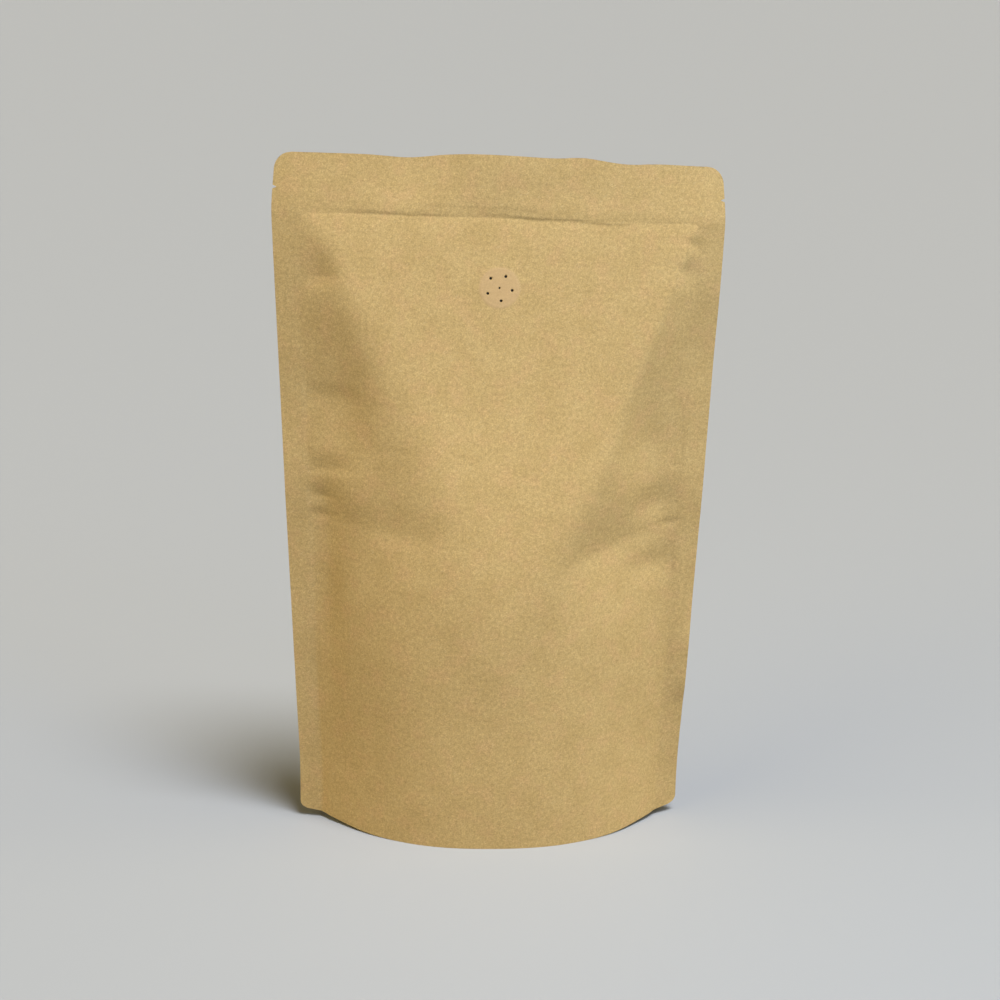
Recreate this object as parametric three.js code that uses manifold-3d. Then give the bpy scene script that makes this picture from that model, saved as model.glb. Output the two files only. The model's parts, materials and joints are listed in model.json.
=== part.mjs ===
// A kraft-paper stand-up pouch, filled, pressed shut and standing on its opened bottom gusset, with a
// one-way degassing valve under the zip. Millimetres, +Z up, the front panel facing -Y, the side seals
// lying in the XZ plane, and the origin on the ground at the middle of the base.
import * as THREE from "three";
import { mergeVertices } from "three/addons/utils/BufferGeometryUtils.js";
import Module from "manifold-3d";

// Film, flat
const FILM_WIDTH = 200; // from the tip of one side seal to the tip of the other
const SIDE_SEAL = 10; // width of a side seal
const GUSSET_FOLD = 50; // height of the bottom gusset's fold above the bottom edge
const WELD_LOW = 8; // height of the gusset's U-shaped weld at the middle of a panel
const PRESSED_HALF = 0.4; // half the thickness of two films pressed together
const SKIRT_WALL = 1.0; // thickness of the skirt that stands round the base

// Pouch, standing
const HEIGHT = 310.4; // top edge above the ground, at the middle
const HEADER = 26; // from the top edge down to the lower edge of the zip
const FACET_LOW = 149; // height at which the flat facet below the zip is measured
const ZIP_SOFTNESS = 0.03; // share of the way down to there in which the film leaves the zip softly
const ZIP_SPREADS = { "-1": 0.14, 1: 0.05 }; // share of the film that curves away from a seal at the zip
const FACET_SPREADS = { "-1": 1.02, 1: 0.68 }; // the same at FACET_LOW
const SPREAD_BEND = 0.78; // share from which it grows less, towards the widest
const WIDEST_SPREAD = 1;
const FACET_HALF_WIDTH = 94.3; // from the middle to the tip of a side seal, at FACET_LOW
const BASE_HALF_WIDTH = 88.3; // the same at the base
const BASE_STRAIGHT = 24; // height up to which the base keeps that width
const BASE_BEND = 14; // height, above and below that one, over which the sides turn outwards
const CORNER_LIFT = 4.5; // how far the tips of the base stand off the ground
const LIFT_FROM = 40; // distance from the middle at which the skirt starts to rise
const LIFT_FADE = 70; // height over which that rise dies out
const TOP_LEAN = 2.4; // how much higher the left end of the top edge is than its middle
const HEADER_TILT = 3.4; // how far the top edge leans back
const TOP_NARROWING = 1.4; // how much the wavy top edge is drawn in at each end

// Corners and notches
const TOP_RADIUS = 7.6;
const FOOT_RADIUS = 3;
const NOTCH_BELOW_TOP = 15.4;
const NOTCH_DEPTH = 1.9;
const NOTCH_HALF_HEIGHT = 0.9;

// Zip: it lifts the film from its edges up
const ZIP_STEP = 1.9; // height in which the film rises over an edge
const ZIP_TOP = 3.6; // height above an edge from which the film sinks back
const ZIP_TOP_FADE = 9;
const ZIP_EDGE_FADE = 0.3; // share of an edge's run in which it fades, at each end

// The film's angle to the plane of the side seals. Above the waist it is gentle by the seal, steep, and
// then none across the facet; these are shares of the curved film. Below the waist it is a bell round
// BELL_AT, with its widths towards the seal and towards the middle; these are lengths of film.
const CORNER_START = 0.7;
const CORNER_STEEP = 0.45;
const CORNER_EDGES = { "-1": 0.44, 1: 0.76 };
const BELL_AT = 16;
const BELL_WIDTHS = [33, 48];

// The waist, where the flattened corners end on the bulge below them: its height at the side seal, its
// height at a length of film, the reach, from the seal, its height at the middle, and its softness.
const WAISTS = {
  front: { "-1": { seal: 190, end: 154, reach: 44 }, 1: { seal: 170, end: 142, reach: 62 } },
  back: { "-1": { seal: 176, end: 146, reach: 60 }, 1: { seal: 186, end: 152, reach: 44 } },
};
const WAIST_MIDDLE = 124;
const WAIST_SOFTNESS = 24;
const WAIST_MIDDLE_SOFTNESS = 42;

// Valve
const VALVE_RADIUS = 9.05;
const VALVE_THICKNESS = 3;
const VALVE_PROUD = 0.35;
const VALVE_HEIGHT = 254.6;
const VALVE_GAP = 0.3;
const VALVE_RING_RADIUS = 7.1;
const VALVE_RING_DEPTH = 0.15;
const PINHOLE_CIRCLE = 5.7;
const PINHOLE_COUNT = 5;
const PINHOLE_RADIUS = 0.5;
const PINHOLE_DEPTH = 1.2;
const PINHOLE_TURN = 10.7; // degrees from +X to the first pinhole, going down

const HALF_PATH = FILM_WIDTH / 2 - SIDE_SEAL; // film from a side seal to the middle of a panel
const ZIP_LOW = HEIGHT - HEADER;
const SECTION_STEP = 0.5; // step along the film when a section is traced
const STEP_COUNT = HALF_PATH / SECTION_STEP;

// Dents, where a panel has buckled, and its broad swelling. On the flat film each runs from one x and
// height to another, and fades out at that end. above and below are the reach of its flanks, depth how
// deep it is (a ridge if negative), end the share of the reach that is left at the far end, and
// roundness 1 is a crease and 2 a round hollow.
const DENTS = {
  front: [
    { from: [-92, 256], to: [-66, 258], above: 30, below: 13, depth: 2.0, end: 0.5, roundness: 1.6 },
    { from: [-92, 202], to: [-50, 192], above: 54, below: 56, depth: 2.6, end: 0.8, roundness: 2.0 },
    { from: [-94, 169], to: [-58, 172], above: 14, below: 8, depth: 0.9, end: 0.6, roundness: 1.7 },
    { from: [-84, 147], to: [-8, 141], above: 36, below: 110, depth: 3.6, end: 0.6, roundness: 1.35 },
    { from: [-82, 156], to: [-84, 50], above: 30, below: 18, depth: 1.7, end: 1.0, roundness: 1.6 },
    { from: [-84, -6], to: [-40, -6], above: 64, below: 40, depth: -1.6, end: 0.8, roundness: 2.0 },
    { from: [-70, 128], to: [90, 128], above: 100, below: 120, depth: -3.2, end: 1.0, roundness: 2.0 },
    { from: [93, 262], to: [72, 265], above: 10, below: 15, depth: 1.2, end: 0.6, roundness: 1.6 },
    { from: [92, 189], to: [46, 184], above: 66, below: 46, depth: 4.8, end: 0.8, roundness: 1.8 },
    { from: [94, 160], to: [58, 151], above: 18, below: 15, depth: 1.5, end: 0.6, roundness: 1.8 },
    { from: [92, 129], to: [58, 123], above: 14, below: 16, depth: 1.2, end: 0.6, roundness: 1.8 },
    { from: [84, 146], to: [20, 128], above: 36, below: 84, depth: 4.4, end: 0.45, roundness: 1.4 },
    { from: [84, -6], to: [36, -6], above: 72, below: 40, depth: -2.0, end: 0.8, roundness: 2.0 },
  ],
  back: [
    { from: [-92, 254], to: [-68, 258], above: 28, below: 12, depth: 1.8, end: 0.5, roundness: 1.6 },
    { from: [-92, 198], to: [-54, 190], above: 54, below: 20, depth: 3.0, end: 0.7, roundness: 1.9 },
    { from: [-94, 166], to: [-56, 160], above: 14, below: 9, depth: 1.5, end: 0.6, roundness: 1.8 },
    { from: [-82, 150], to: [-22, 138], above: 30, below: 40, depth: 3.4, end: 0.35, roundness: 1.2 },
    { from: [92, 260], to: [70, 262], above: 24, below: 10, depth: 1.7, end: 0.5, roundness: 1.6 },
    { from: [92, 204], to: [56, 198], above: 50, below: 22, depth: 2.6, end: 0.7, roundness: 2.0 },
    { from: [94, 172], to: [54, 168], above: 13, below: 8, depth: 1.4, end: 0.6, roundness: 1.8 },
    { from: [82, 150], to: [18, 146], above: 30, below: 60, depth: 3.6, end: 0.4, roundness: 1.15 },
  ],
};

// Edges of the zip on the flat film: each from one x, and height above ZIP_LOW, to another, and how far
// it lifts the film
const ZIP_EDGES = [
  { from: [-74, 0.4], to: [-14, -1.0], rise: 0.32 },
  { from: [-36, 4.0], to: [-4, 3.2], rise: 0.14 },
  { from: [-12, 3.4], to: [26, 2.7], rise: 0.12 },
  { from: [-12, 1.0], to: [20, -1.3], rise: 0.24 },
  { from: [2, -0.3], to: [60, -2.2], rise: 0.48 },
  { from: [40, -2.0], to: [80, -1.3], rise: 0.18 },
];

// Waves of the two films together, out of the plane of the side seals
const HEADER_WAVES = [
  { amplitude: 1.0, length: 128, phase: 4.03 },
  { amplitude: 0.45, length: 61, phase: 5.0 },
];
const SEAL_WAVE_HEIGHTS = { "-1": [262, 201, 163], 1: [258, 222, 161] };
const SEAL_WAVE_DEPTH = 0.8;
const SEAL_WAVE_HALF = 15;
const SEAL_WAVE_REACH = 30; // how far into a panel the seal's waves carry

// The side seals' tips are turned back, more at the foot, and less on a stretch of the right one.
const SEAL_TURNS = { "-1": 0.9, 1: 3.0 };
const FOOT_TURN = { extra: 0.9, fade: 55 };
const FLAT_STRETCH = { low: 53, lowFade: 14, high: 112, highFade: 30, share: 0.7 };

// Crests and dips of the top edge
const TOP_EDGE_BUMPS = [
  { x: -4, half: 30, rise: 1.7 },
  { x: -40, half: 13, rise: -1.4 },
  { x: 36, half: 9, rise: 1.1 },
  { x: 57, half: 9, rise: -0.8 },
  { x: 92, half: 24, rise: -0.9 },
];
const TOP_EDGE_BASE = 0.3;

// Mesh density
const FILM_STATIONS = [0, 1.5, 4, 7.5, 12, 17, 22, 27.5, 33, 39, 45, 51, 57.5, 65, 76, HALF_PATH];
const RECESS_FROM = 2; // index in FILM_STATIONS where the recess under the gusset starts

const clamp = (v, low, high) => Math.min(high, Math.max(low, v));
const smooth = (v) => {
  const t = clamp(v, 0, 1);
  return t * t * (3 - 2 * t);
};
const mix = (a, b, t) => a + (b - a) * t;

// ---- The panels' horizontal sections ----

// Angle profiles, 1 at their steepest. Above the waist, u is a share of the curved film.
const cornerProfile = (u, edge) => {
  const rise = CORNER_START + (1 - CORNER_START) * smooth(u / CORNER_STEEP);
  return rise * (1 - smooth((u - edge) / (1 - edge)));
};

// Below the waist, s is a length of film from the side seal.
function bulgeProfile(s) {
  const bell = (at) => Math.exp(-(((at - BELL_AT) / BELL_WIDTHS[at < BELL_AT ? 0 : 1]) ** 2));
  const rest = bell(HALF_PATH);
  return (bell(s) - rest) / (1 - rest);
}

// Depth of the film at each step along it, and its width, when the profile's steepest angle is given.
function traceFilm(profile, steepest) {
  const depths = [0];
  let width = 0;
  for (let i = 0; i < STEP_COUNT; i++) {
    const angle = steepest * profile((i + 0.5) * SECTION_STEP);
    depths.push(depths[i] + SECTION_STEP * Math.sin(angle));
    width += SECTION_STEP * Math.cos(angle);
  }
  return { depths, width };
}

// The trace with a given width: the steeper the film, the narrower the pouch.
function traceOfWidth(profile, width) {
  let low = 0;
  let high = 1.3;
  for (let i = 0; i < 30; i++) {
    const middle = (low + high) / 2;
    if (traceFilm(profile, middle).width > width) low = middle;
    else high = middle;
  }
  return traceFilm(profile, low).depths;
}

// 0 at the zip, 1 at FACET_LOW and more below it, growing softly at first.
function fallFromZip(height) {
  const drop = Math.max(0, (ZIP_LOW - height) / (ZIP_LOW - FACET_LOW));
  return (drop * drop * (1 + ZIP_SOFTNESS)) / (drop + ZIP_SOFTNESS);
}

function halfWidth(height) {
  if (height > FACET_LOW) return mix(FILM_WIDTH / 2, FACET_HALF_WIDTH, fallFromZip(height));
  const above = height - BASE_STRAIGHT;
  const bend = clamp(above + BASE_BEND, 0, 2 * BASE_BEND) ** 2 / (4 * BASE_BEND);
  const rise = (above > BASE_BEND ? above : bend) / (FACET_LOW - BASE_STRAIGHT);
  return mix(BASE_HALF_WIDTH, FACET_HALF_WIDTH, rise);
}

// Share of the bulge's shape in the film at a height and a length s from the seal: none above the
// waist, all below it. Past its reach the step widens towards the middle of the panel.
function bulgeShare(waist, s, height) {
  const side = mix(waist.seal, waist.end, Math.min(1, s / waist.reach));
  const line = mix(side, WAIST_MIDDLE, smooth((s - waist.reach) / (HALF_PATH - waist.reach)));
  const widen = smooth((s - 0.75 * waist.reach) / (HALF_PATH - 0.75 * waist.reach));
  const softness = mix(WAIST_SOFTNESS, WAIST_MIDDLE_SOFTNESS, widen);
  return smooth((line - height) / (2 * softness) + 0.5 - 0.4 * widen);
}

// Depths of half a panel above the waist, where a corner curves away from the facet.
function cornerDepths(side, height) {
  const fall = fallFromZip(height);
  if (fall === 0) return Array(STEP_COUNT + 1).fill(0);
  const room = WIDEST_SPREAD - SPREAD_BEND;
  const even = mix(ZIP_SPREADS[side], FACET_SPREADS[side], fall);
  const spread = even > SPREAD_BEND ? SPREAD_BEND + room * Math.tanh((even - SPREAD_BEND) / room) : even;
  const curved = Math.max(1, HALF_PATH * spread);
  const edge = CORNER_EDGES[side];
  return traceOfWidth((s) => cornerProfile(s / curved, edge), halfWidth(height) - SIDE_SEAL);
}

// Half a panel's section: its depth and its distance from the seal, at each step along the film. Both
// halves have the same depth at the middle.
const sections = new Map();
function sectionAt(face, side, height) {
  const key = `${face} ${side} ${height.toFixed(4)}`;
  if (sections.has(key)) return sections.get(key);
  const width = halfWidth(height) - SIDE_SEAL;
  const corner = cornerDepths(side, height);
  const middle = (corner[STEP_COUNT] + cornerDepths(-side, height)[STEP_COUNT]) / 2;
  const match = middle / Math.max(corner[STEP_COUNT], 1e-6);
  const bulge = traceOfWidth(bulgeProfile, width);
  const waist = WAISTS[face][side];
  const depths = corner.map((depth, i) =>
    mix(depth * match, bulge[i], bulgeShare(waist, i * SECTION_STEP, height)),
  );
  const across = [0];
  for (let i = 0; i < STEP_COUNT; i++) {
    const rise = depths[i + 1] - depths[i];
    across.push(across[i] + Math.sqrt(SECTION_STEP ** 2 - rise ** 2));
  }
  const scale = width / across[STEP_COUNT];
  const section = { depths, across: across.map((value) => value * scale), width };
  sections.set(key, section);
  return section;
}

function filmPoint(face, side, s, height) {
  const { depths, across, width } = sectionAt(face, side, height);
  const place = Math.min(s / SECTION_STEP, STEP_COUNT);
  const index = Math.min(Math.floor(place), STEP_COUNT - 1);
  return {
    reach: width - mix(across[index], across[index + 1], place - index),
    depth: mix(depths[index], depths[index + 1], place - index),
    angle: Math.asin((depths[index + 1] - depths[index]) / SECTION_STEP),
  };
}

// ---- Dents, zip and waves on top of the sections ----

// How far a panel is pressed in at a place on its flat film. depth is how far it stands out there.
function dentDepth(face, x, height, depth) {
  const thickness = depth + PRESSED_HALF;
  let total = 0;
  for (const dent of DENTS[face]) {
    const [run, climb] = [dent.to[0] - dent.from[0], dent.to[1] - dent.from[1]];
    const length = Math.hypot(run, climb);
    const [dx, dz] = [x - dent.from[0], height - dent.from[1]];
    const along = (dx * run + dz * climb) / length ** 2;
    const offset = (dz * Math.abs(run) - dx * climb * Math.sign(run)) / length;
    const reach = (offset > 0 ? dent.above : dent.below) * mix(1, dent.end, clamp(along, 0, 1));
    const inward = Math.max(0, 1 - Math.pow(Math.abs(offset / reach), dent.roundness));
    const flank = Math.pow(inward, dent.roundness + 1);
    const fade = smooth(along / 0.2 + 1) * (1 - smooth((along - 0.35) / 0.65));
    total += dent.depth * flank * fade * (1 - Math.exp(-thickness / (1.6 * Math.abs(dent.depth))));
  }
  return Math.min(total, 0.9 * thickness);
}

function zipRise(x, height) {
  let total = 0;
  for (const { from, to, rise } of ZIP_EDGES) {
    const along = (x - from[0]) / (to[0] - from[0]);
    const above = height - ZIP_LOW - mix(from[1], to[1], along);
    const step = smooth(above / ZIP_STEP) * (1 - smooth((above - ZIP_TOP) / ZIP_TOP_FADE));
    total += rise * step * smooth(along / ZIP_EDGE_FADE) * smooth((1 - along) / ZIP_EDGE_FADE);
  }
  return total;
}

const waveSum = (waves, x) =>
  waves.reduce((sum, w) => sum + w.amplitude * Math.sin((2 * Math.PI * x) / w.length + w.phase), 0);

// Both films' shift out of the plane of the side seals. In a seal, s is the distance into it, below 0.
function planeShift(x, s, side, height) {
  const aboveZip = Math.max(0, (height - ZIP_LOW) / HEADER);
  const header = waveSum(HEADER_WAVES, x) * Math.pow(smooth(aboveZip), 0.8);
  const tilt = HEADER_TILT * Math.pow(aboveZip, 1.2);
  let seal = 0;
  SEAL_WAVE_HEIGHTS[side].forEach((z, i) => {
    const offset = (height - z) / SEAL_WAVE_HALF;
    seal += (i % 2 ? 1 : -1) * SEAL_WAVE_DEPTH * Math.exp(-offset * offset);
  });
  const stretch = FLAT_STRETCH;
  const rising = smooth((height - stretch.low) / stretch.lowFade);
  const falling = 1 - smooth((height - stretch.high) / stretch.highFade + 1);
  const flat = side === 1 ? stretch.share * rising * falling : 0;
  const foot = 1 + FOOT_TURN.extra * (1 - smooth(height / FOOT_TURN.fade));
  const turn = SEAL_TURNS[side] * foot * (1 - flat) * clamp(-s / SIDE_SEAL, 0, 1);
  return header + tilt + seal * (1 - smooth((s + SIDE_SEAL) / SEAL_WAVE_REACH)) + turn;
}

// How far the film's edge lies in from the straight tip line, for round corners and tear notches.
function edgeInset(height) {
  const notch = Math.abs(height - (HEIGHT - NOTCH_BELOW_TOP));
  const notchInset = NOTCH_DEPTH * Math.max(0, 1 - notch / NOTCH_HALF_HEIGHT);
  const round = (distance, radius) => {
    const short = clamp(radius - distance, 0, radius);
    return radius - Math.sqrt(radius * radius - short * short);
  };
  const top = round(HEIGHT - height, TOP_RADIUS);
  const foot = round(height, FOOT_RADIUS);
  const drawnIn = TOP_NARROWING * smooth((height - ZIP_LOW) / HEADER);
  return notchInset + top + foot + drawnIn;
}

// A height on the even pouch becomes a height on the real one: lifted tips, leaning and wavy top edge.
function settle(x, height) {
  const lift = CORNER_LIFT * clamp((Math.abs(x) - LIFT_FROM) / (BASE_HALF_WIDTH - LIFT_FROM), 0, 1) ** 2;
  const lifted = height + lift * (1 - smooth(height / LIFT_FADE));
  const lean = (-TOP_LEAN * x) / (FILM_WIDTH / 2) * smooth(height / ZIP_LOW);
  const bump = (sum, b) => sum + b.rise * Math.exp(-(((x - b.x) / b.half) ** 2));
  const edge = TOP_EDGE_BUMPS.reduce(bump, -TOP_EDGE_BASE);
  return lifted + lean + edge * smooth((height - ZIP_LOW) / HEADER);
}

// A point of the front or back panel; side is -1 for its left half. s is the length along the film
// from the side seal: below 0 it is in the seal. inset moves the point inwards.
function panelPoint(face, side, s, height, inset = 0) {
  const film = filmPoint(face, side, Math.max(0, s), height);
  const beyond = clamp(-s / SIDE_SEAL, 0, 1) * (SIDE_SEAL - edgeInset(height));
  const reach = film.reach + beyond;
  const flatX = side * (HALF_PATH - s);
  const pressed = s > 0 ? dentDepth(face, flatX, height, film.depth) : 0;
  const out = PRESSED_HALF + film.depth + (s > 0 ? zipRise(flatX, height) : 0);
  const outwards = face === "front" ? -1 : 1;
  const x = side * (reach - Math.sin(film.angle) * pressed);
  const shift = planeShift(x, s > 0 ? s : -beyond, side, height);
  const y = outwards * (out - Math.cos(film.angle) * pressed - inset) + shift;
  return new THREE.Vector3(x, y, settle(x, height));
}

// ---- The pouch's closed surface ----

// Film lengths from the left tip to the right tip, each with its side.
function columns() {
  const seal = [-SIDE_SEAL, -SIDE_SEAL / 2];
  const left = [...seal, ...FILM_STATIONS].map((s) => ({ side: -1, s }));
  const right = [...FILM_STATIONS.slice(0, -1).reverse(), ...seal.reverse()];
  return [...left, ...right.map((s) => ({ side: 1, s }))];
}

const steps = (from, to, count) =>
  Array.from({ length: count }, (_, i) => from + ((to - from) * i) / count);

// Heights of the rows, closer where the film is dented, lifted, notched or rounded.
function rows() {
  const notch = HEIGHT - NOTCH_BELOW_TOP;
  return [
    ...steps(0, FOOT_RADIUS, 3),
    ...steps(FOOT_RADIUS, 120, 13),
    ...steps(120, 180, 18),
    ...steps(180, 240, 10),
    ...steps(240, ZIP_LOW - 3, 9),
    ...steps(ZIP_LOW - 3, ZIP_LOW + 6, 6),
    ...steps(ZIP_LOW + 6, notch - NOTCH_HALF_HEIGHT, 1),
    notch - NOTCH_HALF_HEIGHT,
    notch,
    notch + NOTCH_HALF_HEIGHT,
    ...steps(notch + NOTCH_HALF_HEIGHT + 2, HEIGHT - TOP_RADIUS, 2),
    ...[0, 0.3, 0.58, 0.8, 0.95].map((share) => HEIGHT - TOP_RADIUS * (1 - share)),
    HEIGHT,
  ];
}

// Vertices and triangles of one closed mesh.
class Surface {
  constructor() {
    this.positions = [];
    this.triangles = [];
  }
  vertex(point) {
    this.positions.push(point.x, point.y, point.z);
    return this.positions.length / 3 - 1;
  }
  triangle(a, b, c) {
    this.triangles.push(a, b, c);
  }
  quad(a, b, c, d) {
    this.triangle(a, b, c);
    this.triangle(a, c, d);
  }
  // A grid of vertex indices, seen from outside with rows going up and columns going right.
  grid(indices) {
    for (let r = 0; r + 1 < indices.length; r++)
      for (let c = 0; c + 1 < indices[r].length; c++)
        this.quad(indices[r][c], indices[r][c + 1], indices[r + 1][c + 1], indices[r + 1][c]);
  }
  geometry() {
    const geometry = new THREE.BufferGeometry();
    geometry.setAttribute("position", new THREE.Float32BufferAttribute(this.positions, 3));
    geometry.setIndex(this.triangles);
    return geometry;
  }
}

// Height of the gusset film above the ground: w runs from -1 at the front weld to 1 at the back weld.
function gussetHeight(s, w, weldLeft, weldRight) {
  const fold = GUSSET_FOLD * Math.pow(Math.max(0, 1 - s / 46), 1.3);
  const weld = w < 0 ? weldLeft : weldRight;
  const rise = clamp((Math.abs(w) - 0.35) / 0.65, 0, 1);
  return Math.min(weld, mix(fold, weld, rise * rise));
}

const weldHeight = (s) => WELD_LOW + (GUSSET_FOLD - WELD_LOW) * Math.pow(1 - s / HALF_PATH, 2.5);

// One row of vertices under the pouch, from the front skirt's bottom edge to the back skirt's.
function undersideColumn(surface, column, front, back) {
  const { side, s } = column;
  const shares = [-2 / 3, -1 / 3, 0, 1 / 3, 2 / 3];
  const flat = s <= FILM_STATIONS[RECESS_FROM];
  const start = new THREE.Vector3().fromArray(surface.positions, 3 * front);
  const end = new THREE.Vector3().fromArray(surface.positions, 3 * back);
  const between = (t) => start.clone().lerp(end, t);
  if (flat) {
    const count = shares.length + 4;
    const inner = Array.from({ length: count }, (_, i) => surface.vertex(between((i + 1) / (count + 1))));
    return [front, ...inner, back];
  }
  const height = weldHeight(s);
  const [frontWeld, backWeld] = ["front", "back"].map((face) =>
    panelPoint(face, side, s, height, SKIRT_WALL),
  );
  const wall = SKIRT_WALL / (end.y - start.y);
  const film = shares.map((w) => {
    const point = frontWeld.clone().lerp(backWeld, (w + 1) / 2);
    point.z = gussetHeight(s, w, frontWeld.z, backWeld.z);
    return surface.vertex(point);
  });
  return [
    front,
    surface.vertex(between(wall)),
    surface.vertex(frontWeld),
    ...film,
    surface.vertex(backWeld),
    surface.vertex(between(1 - wall)),
    back,
  ];
}

function pouchGeometry() {
  const surface = new Surface();
  const across = columns();
  const panel = (face) =>
    rows().map((height) =>
      across.map(({ side, s }) => surface.vertex(panelPoint(face, side, s, height))),
    );
  const front = panel("front");
  const back = panel("back");
  surface.grid(front);
  surface.grid(back.map((row) => [...row].reverse()));
  // The seals' tips and the top edge close the two panels.
  const last = across.length - 1;
  surface.grid(front.map((row, r) => [back[r][0], row[0]]));
  surface.grid(front.map((row, r) => [row[last], back[r][last]]));
  surface.grid([front.at(-1), back.at(-1)]);
  // Underneath: flat across the seals, recessed under the gusset between them.
  const inRecess = across.map(({ s }) => s >= FILM_STATIONS[RECESS_FROM]);
  const first = inRecess.indexOf(true);
  const final = inRecess.lastIndexOf(true);
  surface.grid([back[0].slice(0, first), front[0].slice(0, first)]);
  surface.grid([back[0].slice(final + 1), front[0].slice(final + 1)]);
  const under = across
    .slice(first, final + 1)
    .map((column, i) => undersideColumn(surface, column, front[0][first + i], back[0][first + i]));
  surface.grid(under.map((row) => [...row].reverse()).reverse());
  fan(surface, [front[0][first - 1], back[0][first - 1]], under[0]);
  fan(surface, [back[0][final + 1], front[0][final + 1]], [...under.at(-1)].reverse());
  return surface.geometry();
}

// Fills the gap between a two-vertex column and the many-vertex column beside it.
function fan(surface, [near, far], many) {
  const half = Math.floor(many.length / 2);
  for (let i = 0; i + 1 < many.length; i++)
    surface.triangle(i < half ? near : far, many[i + 1], many[i]);
  surface.triangle(near, far, many[half]);
}

// ---- The valve ----

const middleDepth = (height) => filmPoint("front", 1, HALF_PATH, height).depth;
const facetTilt = Math.atan2(middleDepth(VALVE_HEIGHT - 10) - middleDepth(VALVE_HEIGHT + 10), 20);

// A group whose +Z points out of the facet at the valve, from the film's surface.
function valveFrame() {
  const depth = middleDepth(VALVE_HEIGHT) + PRESSED_HALF;
  const frame = new THREE.Group();
  frame.position.set(0, -depth, VALVE_HEIGHT);
  frame.rotation.x = Math.PI / 2 - facetTilt;
  frame.updateMatrixWorld(true);
  return frame;
}

// A cylinder along Z between two heights.
function turned(radius, low, high, sides) {
  const profile = [
    [0, low],
    [radius, low],
    [radius, high],
    [0, high],
  ].map(([r, z]) => new THREE.Vector2(r, z));
  return new THREE.LatheGeometry(profile, sides).rotateX(Math.PI / 2);
}

// The disc, its face crowned at the rim and marked by a shallow ring.
function valveDisc() {
  const face = VALVE_PROUD;
  const ring = VALVE_RING_RADIUS;
  const profile = [
    [0, face - VALVE_THICKNESS],
    [VALVE_RADIUS, face - VALVE_THICKNESS],
    [VALVE_RADIUS, face - 0.3],
    [VALVE_RADIUS - 0.4, face],
    [ring + 0.45, face],
    [ring, face - VALVE_RING_DEPTH],
    [ring - 0.45, face],
    [0, face],
  ].map(([r, z]) => new THREE.Vector2(r, z));
  return new THREE.LatheGeometry(profile, 48).rotateX(Math.PI / 2);
}

function pinholes() {
  const centres = Array.from({ length: PINHOLE_COUNT }, (_, i) => {
    const angle = -THREE.MathUtils.degToRad(PINHOLE_TURN + (360 / PINHOLE_COUNT) * i);
    return [PINHOLE_CIRCLE * Math.cos(angle), PINHOLE_CIRCLE * Math.sin(angle), PINHOLE_RADIUS];
  });
  centres.push([0, 0, PINHOLE_RADIUS * 0.7]);
  return centres.map(([x, y, radius]) =>
    turned(radius, VALVE_PROUD - PINHOLE_DEPTH, VALVE_PROUD + 1, 10).translate(x, y, 0),
  );
}

// ---- Solids ----

const wasm = await Module();
wasm.setup();

function solid(geometry) {
  const bare = geometry.clone();
  bare.deleteAttribute("normal");
  bare.deleteAttribute("uv");
  const merged = mergeVertices(bare, 1e-4);
  return new wasm.Manifold(
    new wasm.Mesh({
      numProp: 3,
      vertProperties: merged.attributes.position.array,
      triVerts: new Uint32Array(merged.index.array),
    }),
  );
}

function meshOf(name, manifold, material) {
  const made = manifold.getMesh();
  const geometry = new THREE.BufferGeometry();
  geometry.setAttribute("position", new THREE.BufferAttribute(made.vertProperties, 3));
  geometry.setIndex(new THREE.BufferAttribute(made.triVerts, 1));
  geometry.computeVertexNormals();
  const mesh = new THREE.Mesh(geometry, material);
  mesh.name = name;
  return mesh;
}

const kraftPaper = new THREE.MeshStandardMaterial({ color: 0xbf9f67, roughness: 0.82, metalness: 0 });
const valveFilm = new THREE.MeshStandardMaterial({ color: 0xc8a878, roughness: 0.7, metalness: 0 });

const pouch = new THREE.Group();
const frame = valveFrame();
const pocket = turned(VALVE_RADIUS + VALVE_GAP, VALVE_PROUD - VALVE_THICKNESS - VALVE_GAP, 5, 48);
pocket.applyMatrix4(frame.matrixWorld);
pouch.add(meshOf("pouch_body", solid(pouchGeometry()).subtract(solid(pocket)), kraftPaper));

const disc = pinholes().reduce((left, hole) => left.subtract(solid(hole)), solid(valveDisc()));
frame.add(meshOf("valve", disc, valveFilm));
pouch.add(frame);

export default pouch;
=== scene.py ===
"""A kraft-paper stand-up pouch, filled and pressed shut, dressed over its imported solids.

The two panels and the gusset are films of real thickness. They are shaped by the same named sizes as
the solids, with finer pinches and waves. Lengths are in millimetres until a mesh is made, which is in
metres. In tables with one row for each half of a panel, -1 is the left half and 1 the right.
"""
import json
import math

import bpy
import numpy as np
from mathutils import Matrix, Vector

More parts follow.
